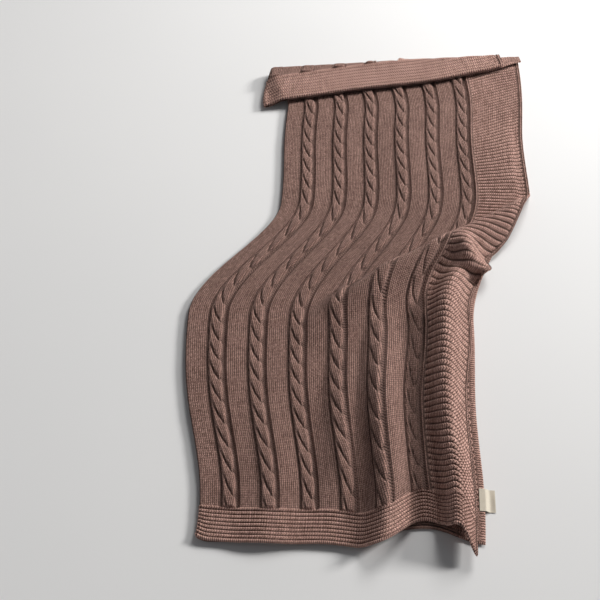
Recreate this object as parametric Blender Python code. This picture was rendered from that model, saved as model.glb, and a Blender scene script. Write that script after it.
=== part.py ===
"""Cable-knit bedspread, folded once lengthwise, laid on a floor, with its top end turned down.

The cloth is one closed sheet. A point of it has three cloth coordinates:
  u  across, measured from the lengthwise fold: above 0 on the top layer, below 0 on the under layer
  v  along, measured from the hem to the cast-off edge of the top end
  w  through the thickness, above 0 towards the face side, which is outside all round the fold
Laid out, X runs across from the fold, Y from the hem to the turned-down end, and Z is up.
"""

import math

import bmesh
import bpy
import numpy as np

# The cloth as knitted
CLOTH_WIDTH = 1.300
CLOTH_LENGTH = 1.700
THICKNESS = 0.006

# The lengthwise fold lies beside the middle of the cloth, so the top layer is the wider one
FOLD_OFF_MIDDLE = 0.0250
LAYER_GAP = 0.0015
TOP_WIDTH = CLOTH_WIDTH / 2 + FOLD_OFF_MIDDLE
UNDER_WIDTH = CLOTH_WIDTH / 2 - FOLD_OFF_MIDDLE
UNDER_MID = THICKNESS / 2
TOP_MID = UNDER_MID + THICKNESS + LAYER_GAP
ROLL_RADIUS = (TOP_MID - UNDER_MID) / 2
ROLL_HALF = math.pi * ROLL_RADIUS / 2
ROLL_MID = (TOP_MID + UNDER_MID) / 2
STACK = 2 * THICKNESS + LAYER_GAP

# The turned-down end: both layers bend together about a slanting line
TURN_LEFT = 1.548
TURN_SLANT = math.radians(8.0)
TURN_CENTRE = STACK + LAYER_GAP / 2
TURN_RADIUS = TURN_CENTRE - ROLL_MID

# The way the cloth lies: its lower part has slid sideways, most in the middle of its left side, and
# its top end is pulled out to the left
LEFT_SLIDE, LEFT_SLIDE_FROM, LEFT_SLIDE_TO = -0.208, 0.61, 1.01
RIGHT_SLIDE, RIGHT_SLIDE_FROM, RIGHT_SLIDE_TO = -0.112, 0.62, 1.08
HEM_RETURN = 0.088
EDGE_WAVE, EDGE_WAVE_LENGTH = 0.0035, 0.47
TOP_PULL = -0.110
PULL_FROM = 1.38
END_DROOP, DROOP_START, DROOP_RUN = 0.0144, 0.006, 0.050

# Where the top layer passes the edge of the under layer it steps down to the floor
STEP_CLEAR, STEP_RUN = 0.007, 0.020
STEP_FADE_FROM, STEP_FADE_TO = 1.30, 1.46

# Folds that stand up in the top layer, each along a bowed line from its foot to its head. Sizes are
# in metres; the fades are the shares of the line over which a fold rises and dies away.
FOLDS = [
    {"name": "border ridge", "foot": (0.558, -0.06), "head": (0.565, 0.93), "bow": -0.010,
     "height": 0.054, "left": 0.046, "right": 0.058, "fade_foot": 0.00, "fade_head": 0.30},
    {"name": "cable bulge", "foot": (0.397, -0.06), "head": (0.425, 0.74), "bow": 0.006,
     "height": 0.034, "left": 0.058, "right": 0.070, "fade_foot": 0.00, "fade_head": 0.45},
    {"name": "fourth cable swell", "foot": (0.285, 0.02), "head": (0.375, 0.64), "bow": 0.006,
     "height": 0.015, "left": 0.070, "right": 0.055, "fade_foot": 0.30, "fade_head": 0.45},
    {"name": "hem swell", "foot": (0.140, -0.06), "head": (0.180, 0.46), "bow": 0.000,
     "height": 0.008, "left": 0.080, "right": 0.085, "fade_foot": 0.00, "fade_head": 0.60},
    {"name": "seat crest", "foot": (0.220, 0.500), "head": (0.700, 1.050), "bow": -0.030,
     "height": 0.050, "left": 0.052, "right": 0.108, "fade_foot": 0.50, "fade_head": 0.00},
    {"name": "border pinch", "foot": (0.490, 0.900), "head": (0.700, 0.715), "bow": 0.010,
     "height": 0.032, "left": 0.040, "right": 0.036, "fade_foot": 0.40, "fade_head": 0.10},
    {"name": "long swell", "foot": (0.300, 1.000), "head": (0.340, 1.440), "bow": 0.010,
     "height": 0.005, "left": 0.110, "right": 0.110, "fade_foot": 0.40, "fade_head": 0.50},
]
FOLD_FREE = 0.045

# How far the hem and the top end lie ahead (below 0) or back from a straight line, across the cloth
HEM_DRIFT = [
    {"across": 0.000, "drift": -0.022},
    {"across": 0.150, "drift": -0.026},
    {"across": 0.280, "drift": -0.018},
    {"across": 0.400, "drift": -0.026},
    {"across": 0.515, "drift": 0.052},
    {"across": 0.600, "drift": 0.018},
    {"across": 0.675, "drift": -0.036},
]
UNDER_DRIFT = [
    {"across": 0.000, "drift": -0.022},
    {"across": 0.300, "drift": -0.008},
    {"across": 0.500, "drift": 0.036},
    {"across": 0.625, "drift": 0.002},
]
HEM_DRIFT_RUN = 0.44
END_DRIFT = [
    {"across": 0.000, "drift": 0.000},
    {"across": 0.200, "drift": 0.004},
    {"across": 0.430, "drift": 0.018},
    {"across": 0.570, "drift": 0.010},
    {"across": 0.675, "drift": -0.010},
]
END_DRIFT_FROM = 1.40

# Sewn-in label on the inner side of the under layer's edge, near the corner
LABEL_FROM, LABEL_TO = 0.085, 0.143
LABEL_THICK = 0.0008
LABEL_SEWN = 0.012
LABEL_OUT = 0.024
LABEL_GAP = 0.0003

# Spacing of the sheet's rows and columns
UNDER_COLUMNS = 5
ROLL_COLUMNS = 6
PLAIN_COLUMNS, FOLDED_COLUMNS, FOLDED_FROM = 7, 31, 0.240
MAIN_ROWS = [
    {"from_share": 0.00, "to_share": 0.32, "rows": 9},
    {"from_share": 0.32, "to_share": 0.71, "rows": 25},
    {"from_share": 0.71, "to_share": 1.00, "rows": 5},
]
TURN_ROWS, FLAP_ROWS = 6, 4
ARC_STEPS = 120
SLOPE_STEP = 0.001


def smooth(t):
    """0 below 0, 1 above 1, and an even S between."""
    t = np.clip(t, 0.0, 1.0)
    return t * t * (3.0 - 2.0 * t)


def along_table(table, across):
    """Drift at a place across the cloth, eased from one row of the table to the next."""
    result = np.full_like(across, table[0]["drift"])
    for a, b in zip(table, table[1:]):
        share = smooth((across - a["across"]) / (b["across"] - a["across"]))
        result = result + (b["drift"] - a["drift"]) * share
    return result


def fold_height(fold, x, y):
    """Height of one standing fold over the plane."""
    foot, head = np.array(fold["foot"]), np.array(fold["head"])
    run = head - foot
    length = math.hypot(*run)
    ux, uy = run / length
    share = ((x - foot[0]) * ux + (y - foot[1]) * uy) / length
    side = (x - foot[0]) * uy - (y - foot[1]) * ux
    inside = np.clip(share, 0.0, 1.0)
    side = side - fold["bow"] * 4.0 * inside * (1.0 - inside)
    width = np.where(side < 0.0, fold["left"], fold["right"])
    profile = np.cos(np.clip(side / width, -1.0, 1.0) * math.pi / 2) ** 2
    fade = np.ones_like(share)
    if fold["fade_foot"]:
        fade = fade * smooth(share / fold["fade_foot"])
    if fold["fade_head"]:
        fade = fade * smooth((1.0 - share) / fold["fade_head"])
    return fold["height"] * profile * fade


def top_height(x, y):
    """Height of the top layer over its level: its folds, and the step down past the under layer."""
    height = sum(fold_height(fold, x, y) for fold in FOLDS) * smooth(x / FOLD_FREE)
    under_edge = UNDER_WIDTH - ROLL_HALF
    step = smooth((x - under_edge - STEP_CLEAR) / STEP_RUN)
    step = step * (1.0 - smooth((y - STEP_FADE_FROM) / (STEP_FADE_TO - STEP_FADE_FROM)))
    return height - (TOP_MID - UNDER_MID) * step


def top_slope(x, y):
    """Slopes of the top layer along X and Y."""
    slope_x = (top_height(x + SLOPE_STEP, y) - top_height(x - SLOPE_STEP, y)) / (2 * SLOPE_STEP)
    slope_y = (top_height(x, y + SLOPE_STEP) - top_height(x, y - SLOPE_STEP)) / (2 * SLOPE_STEP)
    return slope_x, slope_y


def top_across(u, y):
    """X of the top layer, which draws in where folds take up its width."""
    x = np.zeros_like(u)
    step = np.maximum(u - ROLL_HALF, 0.0) / ARC_STEPS
    for _ in range(ARC_STEPS):
        slope_x, _ = top_slope(x, y)
        x = x + step / np.sqrt(1.0 + slope_x**2)
    return x


def folded_lengthwise(u, v, w):
    """The cloth folded in half over its long roll, with the folds and drifting hem of its layers."""
    angle = np.clip(u / ROLL_RADIUS, -math.pi / 2, math.pi / 2)
    roll_x = -(ROLL_RADIUS + w) * np.cos(angle)
    roll_z = ROLL_MID + (ROLL_RADIUS + w) * np.sin(angle)
    fade = 1.0 - smooth(v / HEM_DRIFT_RUN)
    end = along_table(END_DRIFT, np.abs(u)) * smooth((v - END_DRIFT_FROM) / (CLOTH_LENGTH - END_DRIFT_FROM))
    top_y = v + along_table(HEM_DRIFT, np.maximum(u, 0.0)) * fade + end
    under_y = v + along_table(UNDER_DRIFT, np.maximum(-u, 0.0)) * fade + end
    top_x = top_across(u, top_y)
    slope_x, slope_y = top_slope(top_x, top_y)
    lean = w / np.sqrt(1.0 + slope_x**2 + slope_y**2)
    on_top, on_under = u > ROLL_HALF, u < -ROLL_HALF
    x = np.where(on_top, top_x - slope_x * lean, np.where(on_under, -u - ROLL_HALF, roll_x))
    y = np.where(u >= 0.0, top_y - np.where(on_top, slope_y * lean, 0.0), under_y)
    z = np.where(on_top, TOP_MID + top_height(top_x, top_y) + lean, np.where(on_under, UNDER_MID - w, roll_z))
    return x, y, z


def slide(x, y):
    """Sideways lie of the cloth, which swings out more at its left side than at its right."""
    left = LEFT_SLIDE * (1.0 - smooth((y - LEFT_SLIDE_FROM) / (LEFT_SLIDE_TO - LEFT_SLIDE_FROM)))
    left = left + HEM_RETURN * (1.0 - smooth(y / LEFT_SLIDE_FROM))
    right = RIGHT_SLIDE * (1.0 - smooth((y - RIGHT_SLIDE_FROM) / (RIGHT_SLIDE_TO - RIGHT_SLIDE_FROM)))
    share = np.clip(x / TOP_WIDTH, 0.0, 1.0)
    wave = EDGE_WAVE * np.sin(2 * math.pi * y / EDGE_WAVE_LENGTH)
    return left * (1.0 - share) + right * share + wave


def pull(x, y):
    """How far the top end is pulled out sideways, most at the lengthwise fold."""
    share = smooth((y - PULL_FROM) / (CLOTH_LENGTH - PULL_FROM))
    return TOP_PULL * share * (1.0 - np.clip(x / TOP_WIDTH, 0.0, 1.0))


def past_turn(x, y):
    """Distance of a place beyond the line about which the end turns down."""
    return (y - TURN_LEFT) * math.cos(TURN_SLANT) - x * math.sin(TURN_SLANT)


def turned_down(x, y, z):
    """Bends what lies past the slanting line up and over, onto the cloth below it."""
    past = past_turn(x, y)
    angle = np.clip(past / TURN_RADIUS, 0.0, math.pi)
    radius = TURN_CENTRE - z
    bent = np.where(past < math.pi * TURN_RADIUS, radius * np.sin(angle), math.pi * TURN_RADIUS - past)
    moved = np.where(past > 0.0, bent - past, 0.0)
    new_x = x - moved * math.sin(TURN_SLANT)
    new_y = y + moved * math.cos(TURN_SLANT)
    new_z = np.where(past > 0.0, TURN_CENTRE - radius * np.cos(angle), z)
    beside = slide(0.0, new_y) + pull(0.0, new_y) - ROLL_RADIUS - THICKNESS / 2 - new_x
    droop = END_DROOP * smooth((beside - DROOP_START) / DROOP_RUN)
    return new_x, new_y, np.where(past > 0.0, new_z - droop, new_z)


def laid(u, v, w):
    """Where a point of the cloth lies in the finished arrangement."""
    x, y, z = folded_lengthwise(u, v, w)
    return turned_down(x + slide(x, y) + pull(x, y), y, z)


def columns():
    """Places across the cloth, from the under layer's edge round the fold to the top layer's edge."""
    under = np.linspace(-UNDER_WIDTH, -ROLL_HALF, UNDER_COLUMNS + 1)
    roll = np.linspace(-ROLL_HALF, ROLL_HALF, ROLL_COLUMNS + 1)[1:]
    plain = np.linspace(ROLL_HALF, FOLDED_FROM, PLAIN_COLUMNS + 1)[1:]
    folded = np.linspace(FOLDED_FROM, TOP_WIDTH, FOLDED_COLUMNS + 1)[1:]
    return np.concatenate([under, roll, plain, folded])


def turn_place(u):
    """Distance along the cloth at which each column reaches the turn."""
    v = np.full_like(u, TURN_LEFT)
    for _ in range(6):
        x, y, _ = folded_lengthwise(u, v, np.zeros_like(u))
        v = v - past_turn(x + slide(x, y) + pull(x, y), y) / math.cos(TURN_SLANT)
    return v


def cloth_grid():
    """Cloth coordinates of the sheet's rows and columns, with rows even through the turn."""
    across = columns()
    start = turn_place(across)
    end = start + math.pi * TURN_RADIUS / math.cos(TURN_SLANT)
    main = [np.zeros_like(start)]
    for part in MAIN_ROWS:
        shares = np.linspace(part["from_share"], part["to_share"], part["rows"] + 1)[1:]
        main += [start * share for share in shares]
    turn = [start + (end - start) * share for share in np.linspace(0.0, 1.0, TURN_ROWS + 1)[1:]]
    flap = [end + (CLOTH_LENGTH - end) * share for share in np.linspace(0.0, 1.0, FLAP_ROWS + 1)[1:]]
    along = np.array(main + turn + flap)
    return np.broadcast_to(across, along.shape).copy(), along


def sheet_mesh(name, sides):
    """A closed mesh between two grids of points with the same rows and columns."""
    rows, count = sides[0].shape[:2]
    points = np.concatenate([side.reshape(-1, 3) for side in sides])
    lower = rows * count

    def corner(row, column, side):
        return row * count + column + side * lower

    faces = []
    for row in range(rows - 1):
        for column in range(count - 1):
            ring = [(row, column), (row, column + 1), (row + 1, column + 1), (row + 1, column)]
            faces.append([corner(r, c, 0) for r, c in ring])
            faces.append([corner(r, c, 1) for r, c in reversed(ring)])
    rim = [(0, c) for c in range(count)]
    rim += [(r, count - 1) for r in range(1, rows)]
    rim += [(rows - 1, c) for c in range(count - 2, -1, -1)]
    rim += [(r, 0) for r in range(rows - 2, 0, -1)]
    for a, b in zip(rim, rim[1:] + rim[:1]):
        faces.append([corner(*a, 1), corner(*b, 1), corner(*b, 0), corner(*a, 0)])
    mesh = bpy.data.meshes.new(name)
    mesh.from_pydata([tuple(p) for p in points], [], faces)
    shaped = bmesh.new()
    shaped.from_mesh(mesh)
    bmesh.ops.recalc_face_normals(shaped, faces=shaped.faces)
    bmesh.ops.triangulate(shaped, faces=shaped.faces)
    shaped.to_mesh(mesh)
    shaped.free()
    return mesh


def knit_sheet():
    """The whole cloth as one closed sheet."""
    u, v = cloth_grid()
    sides = [np.stack(laid(u, v, np.full_like(u, w)), axis=-1) for w in (THICKNESS / 2, -THICKNESS / 2)]
    return sheet_mesh("bedspread", sides)


def under_edge_x(y):
    """X of the under layer's free edge."""
    edge = UNDER_WIDTH - ROLL_HALF
    return edge + slide(edge, np.array(y, dtype=float))


def label_tab():
    """The label: sewn on flat, past the edge of the cloth, and down to the floor."""
    top, floor = THICKNESS + LABEL_GAP, LABEL_GAP
    profile = [(-LABEL_SEWN, top), (0.0015, top), (0.0045, top * 0.8), (0.0085, top * 0.3),
               (0.0120, floor), (LABEL_OUT, floor)]
    sides = []
    for lift in (LABEL_THICK, 0.0):
        rows = [[(float(under_edge_x(y)) + out, y, height + lift) for out, height in profile]
                for y in np.linspace(LABEL_FROM, LABEL_TO, 4)]
        sides.append(np.array(rows))
    return sheet_mesh("label", sides)


def material(name, colour, roughness):
    """A plain non-metal material."""
    made = bpy.data.materials.new(name)
    made.use_nodes = True
    shader = made.node_tree.nodes["Principled BSDF"]
    shader.inputs["Base Color"].default_value = (*colour, 1.0)
    shader.inputs["Roughness"].default_value = roughness
    shader.inputs["Metallic"].default_value = 0.0
    return made


def placed(mesh, finish, middle):
    """An object for the mesh, moved so that the middle of the whole stands at the origin."""
    made = bpy.data.objects.new(mesh.name, mesh)
    made.location = (-middle[0], -middle[1], 0.0)
    mesh.materials.append(finish)
    mesh.shade_smooth()
    mesh.set_sharp_from_angle(angle=math.radians(50))
    bpy.context.scene.collection.objects.link(made)
    return made


def main():
    for old in list(bpy.data.objects):
        bpy.data.objects.remove(old, do_unlink=True)
    knit = material("brown_knit", (0.165, 0.100, 0.075), 0.9)
    ribbon = material("label_ribbon", (0.62, 0.55, 0.44), 0.7)
    cloth, label = knit_sheet(), label_tab()
    corners = np.array([point.co[:2] for mesh in (cloth, label) for point in mesh.vertices])
    middle = (corners.min(axis=0) + corners.max(axis=0)) / 2
    placed(cloth, knit, middle)
    placed(label, ribbon, middle)


main()
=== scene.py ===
"""Looks of the cable-knit bedspread, folded once lengthwise and laid out with its top end turned down.

The cloth is drawn as closed sheets, cut along its wales and rows, which lie in the folds of the
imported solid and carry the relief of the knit. A point of the cloth has three coordinates:
  u  across, measured from the lengthwise fold: above 0 on the top layer, below 0 on the under layer
  v  along, measured from the hem to the cast-off edge of the top end
  w  through the thickness, above 0 towards the face side, which is outside all round the fold
"""

import math

import bpy
import numpy as np
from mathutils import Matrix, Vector


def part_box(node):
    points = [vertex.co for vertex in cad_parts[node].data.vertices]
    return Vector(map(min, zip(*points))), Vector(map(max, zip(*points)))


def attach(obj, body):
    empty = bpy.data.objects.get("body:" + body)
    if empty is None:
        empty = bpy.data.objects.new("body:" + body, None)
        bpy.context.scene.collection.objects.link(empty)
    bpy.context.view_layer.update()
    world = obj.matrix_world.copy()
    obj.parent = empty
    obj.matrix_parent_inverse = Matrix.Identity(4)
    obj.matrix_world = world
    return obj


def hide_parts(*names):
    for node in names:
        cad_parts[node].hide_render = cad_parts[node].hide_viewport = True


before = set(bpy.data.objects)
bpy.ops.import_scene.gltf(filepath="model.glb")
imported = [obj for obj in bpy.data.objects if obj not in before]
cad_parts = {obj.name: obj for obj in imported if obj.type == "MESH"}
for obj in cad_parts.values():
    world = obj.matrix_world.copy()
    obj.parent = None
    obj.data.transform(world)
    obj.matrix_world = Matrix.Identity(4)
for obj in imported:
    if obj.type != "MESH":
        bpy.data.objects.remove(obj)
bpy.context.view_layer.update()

# ------------------------------ the cloth as folded, as in the CAD
CLOTH_WIDTH = 1.300
CLOTH_LENGTH = 1.700
THICKNESS = 0.006
FOLD_OFF_MIDDLE = 0.0250
LAYER_GAP = 0.0015
TOP_WIDTH = CLOTH_WIDTH / 2 + FOLD_OFF_MIDDLE
UNDER_WIDTH = CLOTH_WIDTH / 2 - FOLD_OFF_MIDDLE
UNDER_MID = THICKNESS / 2
TOP_MID = UNDER_MID + THICKNESS + LAYER_GAP
ROLL_RADIUS = (TOP_MID - UNDER_MID) / 2
ROLL_HALF = math.pi * ROLL_RADIUS / 2
ROLL_MID = (TOP_MID + UNDER_MID) / 2
STACK = 2 * THICKNESS + LAYER_GAP

TURN_LEFT = 1.548
TURN_SLANT = math.radians(8.0)
TURN_CENTRE = STACK + LAYER_GAP / 2
TURN_RADIUS = TURN_CENTRE - ROLL_MID
TURN_ARC = math.pi * TURN_RADIUS

LEFT_SLIDE, LEFT_SLIDE_FROM, LEFT_SLIDE_TO = -0.208, 0.61, 1.01
RIGHT_SLIDE, RIGHT_SLIDE_FROM, RIGHT_SLIDE_TO = -0.112, 0.62, 1.08
HEM_RETURN = 0.088
EDGE_WAVE, EDGE_WAVE_LENGTH = 0.0035, 0.47
TOP_PULL = -0.110
PULL_FROM = 1.38
END_DROOP, DROOP_START, DROOP_RUN = 0.0144, 0.006, 0.050
STEP_CLEAR, STEP_RUN = 0.007, 0.020
STEP_FADE_FROM, STEP_FADE_TO = 1.30, 1.46

FOLDS = [
    {"name": "border ridge", "foot": (0.558, -0.06), "head": (0.565, 0.93), "bow": -0.010,
     "height": 0.054, "left": 0.046, "right": 0.058, "fade_foot": 0.00, "fade_head": 0.30},
    {"name": "cable bulge", "foot": (0.397, -0.06), "head": (0.425, 0.74), "bow": 0.006,
     "height": 0.034, "left": 0.058, "right": 0.070, "fade_foot": 0.00, "fade_head": 0.45},
    {"name": "fourth cable swell", "foot": (0.285, 0.02), "head": (0.375, 0.64), "bow": 0.006,
     "height": 0.015, "left": 0.070, "right": 0.055, "fade_foot": 0.30, "fade_head": 0.45},
    {"name": "hem swell", "foot": (0.140, -0.06), "head": (0.180, 0.46), "bow": 0.000,
     "height": 0.008, "left": 0.080, "right": 0.085, "fade_foot": 0.00, "fade_head": 0.60},
    {"name": "seat crest", "foot": (0.220, 0.500), "head": (0.700, 1.050), "bow": -0.030,
     "height": 0.050, "left": 0.052, "right": 0.108, "fade_foot": 0.50, "fade_head": 0.00},
    {"name": "border pinch", "foot": (0.490, 0.900), "head": (0.700, 0.715), "bow": 0.010,
     "height": 0.032, "left": 0.040, "right": 0.036, "fade_foot": 0.40, "fade_head": 0.10},
    {"name": "long swell", "foot": (0.300, 1.000), "head": (0.340, 1.440), "bow": 0.010,
     "height": 0.005, "left": 0.110, "right": 0.110, "fade_foot": 0.40, "fade_head": 0.50},
]
FOLD_FREE = 0.045
# places across the cloth, and how far each layer's hem, and the top end, have drifted along it there
HEM_DRIFT = [(0.000, -0.022), (0.150, -0.026), (0.280, -0.018), (0.400, -0.026), (0.515, 0.052),
             (0.600, 0.018), (0.675, -0.036)]
UNDER_DRIFT = [(0.000, -0.022), (0.300, -0.008), (0.500, 0.036), (0.625, 0.002)]
HEM_DRIFT_RUN = 0.44
END_DRIFT = [(0.000, 0.000), (0.200, 0.004), (0.430, 0.018), (0.570, 0.010), (0.675, -0.010)]
END_DRIFT_FROM = 1.40
SLOPE_STEP = 0.001

# ------------------------------ the knit
REPEAT = 0.087  # from one cable to the next
CABLES = 6  # on each side of the cloth's middle
GROUP_HALF = 0.0205  # a cable with the gutter on each side of it
BODY_HALF = (CABLES - 0.5) * REPEAT + GROUP_HALF + 0.0055  # a single wale ends the body
SLIP_EDGE = 0.011  # slip-stitch strip down each side edge
CROSSING = 0.060  # from one crossing of a cable to the next, unstretched
CROSSING_RIDGES = 4.65  # the same, counted in the ridges that stretch with the cloth
ROPE_HALF = 0.0153
ROPE_SHIFT = -0.0026  # the gutter at the left of each cable is the narrower one
STRAND_RISE = 0.0074
CREASE_DEPTH = 0.0072
CREASE_FALL, CREASE_BEND = 1.20, 1.45  # how far a crease runs down, in crossings, and how it bends
CREASE_FROM, CREASE_FULL = 0.04, 0.30  # where across the cable a crease begins, and is deepest
HOOK_FROM, HOOK_RISE = 0.80, 0.32  # where its foot hooks up again, and how far
NOTCH_ABOVE = 0.12  # how far above the foot, in crossings, the notch in the right edge is
END_BORDER = 0.085
TOP_BORDER = 0.101  # at the turned-down end
# the top border's grooves also get a lighter painted shade
TOP_SHADE = 0.72  # its grooves are shallower, for it is not pulled
END_RIDGE, TOP_RIDGE = END_BORDER / 9, TOP_BORDER / 8
CHAIN, TOP_CHAIN = 0.0066, 0.0064  # cast-off chain along the hem and the top end
SIDE_RIDGE, HUNG_RIDGE, HUNG_SIDE_RIDGE = 0.0112, 0.0128, 0.0185  # the hanging part has stretched
HUNG_FROM, HUNG_TO = 0.22, 0.50  # most towards its side
STRETCH_FROM, STRETCH_TO = 0.70, 1.05
CABLE_RIDGE = 0.0129  # the unstretched cables give a little more than the border
BIAS, BIAS_FROM, BIAS_TO = 0.50, 1.00, 1.40  # slant of the ridges in the upper side border
HUNG_BIAS = 0.30  # and in the hanging part, the other way
GARTER_WALE = 0.0056
WALE, SLIP_ROW = REPEAT / 20, 0.0064
ROWS_PER_RIDGE = 3.0
FACE, BACK = 0.0020, -0.0030  # w of the plain face and of the wrong side
GUTTER_DEPTH = 0.0034
SIDE_DEPTH, END_DEPTH = 0.0042, 0.0032  # of the grooves between garter ridges
PANEL_CROWN = 0.0009
EDGE_ROUND = 0.004
CORNER_RISE, CORNER_WIDE = 0.016, 0.036  # of the rounded corner where the hem meets the fold
FLAP_LIFT = 0.0026  # the flap rides on the cables under it
PRESS_FROM, PRESS_RUN = 0.012, 0.035

STOCKINETTE, GARTER, PURL, CHAINED = 0.0, 1.0, 2.0, 3.0
# the first fact is the painted shade in the knit's hollows
FACTS = ("hollow_shade", "kind", "stitch_u", "stitch_v")


def kept_in(t):
    """t, kept between 0 and 1."""
    return np.clip(t, 0.0, 1.0)


def smooth(t):
    """0 below 0, 1 above 1, and an even S between."""
    t = kept_in(t)
    return t * t * (3.0 - 2.0 * t)


def eased(value, start, end):
    """The same S, as a value goes from a start to an end."""
    return smooth((value - start) / (end - start))


def blended(table, i, next_i, j, p, q):
    """Between two rows of a table by a share p, and between a column and the next by a share q."""
    near = table[i, j] * (1 - q) + table[i, j + 1] * q
    far = table[next_i, j] * (1 - q) + table[next_i, j + 1] * q
    return near * (1 - p) + far * p


# ------------------------------ where the cloth lies
def along_table(table, across):
    """Drift at a place across the cloth, eased from one row of the table to the next."""
    result = np.full_like(across, table[0][1])
    for (start, low), (end, high) in zip(table, table[1:]):
        result = result + (high - low) * eased(across, start, end)
    return result


def fold_height(fold, x, y):
    """Height of one standing fold over the plane."""
    foot, head = np.array(fold["foot"]), np.array(fold["head"])
    run = head - foot
    length = math.hypot(*run)
    ux, uy = run / length
    share = ((x - foot[0]) * ux + (y - foot[1]) * uy) / length
    side = (x - foot[0]) * uy - (y - foot[1]) * ux
    inside = kept_in(share)
    side = side - fold["bow"] * 4.0 * inside * (1.0 - inside)
    width = np.where(side < 0.0, fold["left"], fold["right"])
    profile = np.cos(np.clip(side / width, -1.0, 1.0) * math.pi / 2) ** 2
    fade = np.ones_like(share)
    if fold["fade_foot"]:
        fade = fade * smooth(share / fold["fade_foot"])
    if fold["fade_head"]:
        fade = fade * smooth((1.0 - share) / fold["fade_head"])
    return fold["height"] * profile * fade


def top_height(x, y):
    """Height of the top layer over its level: its folds, and the step down past the under layer."""
    height = sum(fold_height(fold, x, y) for fold in FOLDS) * smooth(x / FOLD_FREE)
    under_edge = UNDER_WIDTH - ROLL_HALF
    step = smooth((x - under_edge - STEP_CLEAR) / STEP_RUN)
    step = step * (1.0 - eased(y, STEP_FADE_FROM, STEP_FADE_TO))
    return height - (TOP_MID - UNDER_MID) * step


def top_slope(x, y):
    """Slopes of the top layer along X and Y."""
    slope_x = (top_height(x + SLOPE_STEP, y) - top_height(x - SLOPE_STEP, y)) / (2 * SLOPE_STEP)
    slope_y = (top_height(x, y + SLOPE_STEP) - top_height(x, y - SLOPE_STEP)) / (2 * SLOPE_STEP)
    return slope_x, slope_y


class Across:
    """X of the top layer at each place, which draws in where folds take up its width."""

    U_STEPS, Y_LOW, Y_HIGH, Y_STEPS = 300, -0.10, 1.80, 380

    def __init__(self):
        ys = np.linspace(self.Y_LOW, self.Y_HIGH, self.Y_STEPS + 1)
        step = (TOP_WIDTH + 0.004 - ROLL_HALF) / self.U_STEPS
        x = np.zeros_like(ys)
        rows = [x]
        for _ in range(self.U_STEPS):
            slope_x, _ = top_slope(x, ys)
            x = x + step / np.sqrt(1.0 + slope_x**2)
            rows.append(x)
        self.table, self.step = np.array(rows), step

    def __call__(self, u, y):
        a = np.clip((u - ROLL_HALF) / self.step, 0.0, self.U_STEPS - 1e-6)
        b = (y - self.Y_LOW) / (self.Y_HIGH - self.Y_LOW) * self.Y_STEPS
        b = np.clip(b, 0.0, self.Y_STEPS - 1e-6)
        i, j = a.astype(int), b.astype(int)
        return blended(self.table, i, i + 1, j, a - i, b - j)


across_at = Across()


def folded_lengthwise(u, v, w):
    """The cloth folded in half over its long roll, with the folds and drifting hem of its layers."""
    angle = np.clip(u / ROLL_RADIUS, -math.pi / 2, math.pi / 2)
    roll_x = -(ROLL_RADIUS + w) * np.cos(angle)
    roll_z = ROLL_MID + (ROLL_RADIUS + w) * np.sin(angle)
    fade = 1.0 - smooth(v / HEM_DRIFT_RUN)
    near_end = eased(v, END_DRIFT_FROM, CLOTH_LENGTH)
    end = along_table(END_DRIFT, np.abs(u)) * near_end
    top_y = v + along_table(HEM_DRIFT, np.maximum(u, 0.0)) * fade + end
    under_y = v + along_table(UNDER_DRIFT, np.maximum(-u, 0.0)) * fade + end
    top_x = across_at(u, top_y)
    slope_x, slope_y = top_slope(top_x, top_y)
    lean = w / np.sqrt(1.0 + slope_x**2 + slope_y**2)
    on_top, on_under = u > ROLL_HALF, u < -ROLL_HALF
    x = np.where(on_top, top_x - slope_x * lean, np.where(on_under, -u - ROLL_HALF, roll_x))
    y = np.where(u >= 0.0, top_y - np.where(on_top, slope_y * lean, 0.0), under_y)
    level = TOP_MID + top_height(top_x, top_y) + lean
    z = np.where(on_top, level, np.where(on_under, UNDER_MID - w, roll_z))
    return x, y, z


def slide(x, y):
    """Sideways lie of the cloth, which swings out more at its left side than at its right."""
    left = LEFT_SLIDE * (1.0 - eased(y, LEFT_SLIDE_FROM, LEFT_SLIDE_TO))
    left = left + HEM_RETURN * (1.0 - smooth(y / LEFT_SLIDE_FROM))
    right = RIGHT_SLIDE * (1.0 - eased(y, RIGHT_SLIDE_FROM, RIGHT_SLIDE_TO))
    share = kept_in(x / TOP_WIDTH)
    wave = EDGE_WAVE * np.sin(2 * math.pi * y / EDGE_WAVE_LENGTH)
    return left * (1.0 - share) + right * share + wave


def pull(x, y):
    """How far the top end is pulled out sideways, most at the lengthwise fold."""
    return TOP_PULL * eased(y, PULL_FROM, CLOTH_LENGTH) * (1.0 - kept_in(x / TOP_WIDTH))


def moved_aside(x, y):
    """x as the lie of the cloth and the pull at its top end leave it."""
    return x + slide(x, y) + pull(x, y)


def past_turn(x, y):
    """Distance of a place beyond the line about which the end turns down."""
    return (y - TURN_LEFT) * math.cos(TURN_SLANT) - x * math.sin(TURN_SLANT)


def turned_down(x, y, z):
    """Bends what lies past the slanting line up and over, onto the cloth below it."""
    past = past_turn(x, y)
    angle = np.clip(past / TURN_RADIUS, 0.0, math.pi)
    radius = TURN_CENTRE - z
    bent = np.where(past < TURN_ARC, radius * np.sin(angle), TURN_ARC - past)
    moved = np.where(past > 0.0, bent - past, 0.0)
    new_x = x - moved * math.sin(TURN_SLANT)
    new_y = y + moved * math.cos(TURN_SLANT)
    new_z = np.where(past > 0.0, TURN_CENTRE - radius * np.cos(angle), z)
    beside = moved_aside(0.0, new_y) - ROLL_RADIUS - THICKNESS / 2 - new_x
    droop = END_DROOP * smooth((beside - DROOP_START) / DROOP_RUN)
    lift = FLAP_LIFT * smooth(past / TURN_ARC)
    return new_x, new_y, np.where(past > 0.0, new_z - droop + lift, new_z)


def laid(u, v, w):
    """Where a point of the cloth lies in the finished arrangement, before it is centred."""
    x, y, z = folded_lengthwise(u, v, w)
    return turned_down(moved_aside(x, y), y, z)


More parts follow.
